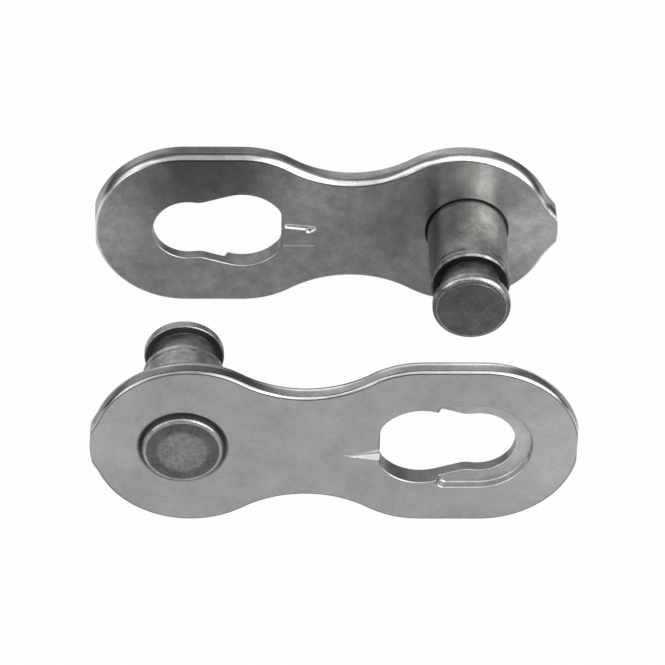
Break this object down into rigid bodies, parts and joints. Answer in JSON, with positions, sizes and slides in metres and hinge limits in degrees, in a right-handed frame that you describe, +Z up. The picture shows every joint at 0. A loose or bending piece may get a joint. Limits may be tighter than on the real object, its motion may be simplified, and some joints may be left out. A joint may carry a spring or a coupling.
{
  "type": "chain connecting link",
  "caption": "Quick-release connecting link for a bicycle chain, shown apart: matching half-links, each a figure-eight plate with a keyhole slot and a riveted, necked pin.",
  "frame": {"origin": "midway between the two halves, level with the lowest points of the four plate ends, on the surface that they stand on", "axes": "+X along the chain, +Y along the pins towards the rear half, +Z up, across the plates' height"},
  "size_m": [0.021, 0.0164, 0.0084],
  "materials": {
    "plate_steel": "satin, finely brushed, nickel grey",
    "pin_steel": "turned and hardened, darker grey"
  },
  "bodies": {
    "rear_half": {"rear_plate": "plate_steel", "rear_pin": "pin_steel"},
    "front_half": {"front_plate": "plate_steel", "front_pin": "pin_steel"}
  },
  "joints": [
    {"name": "closing_slide", "type": "slide", "parent": "rear_half", "child": "front_half", "axis": [0.2475, 0.9689, 0], "range_m": [0, 0.01018]}
  ]
}
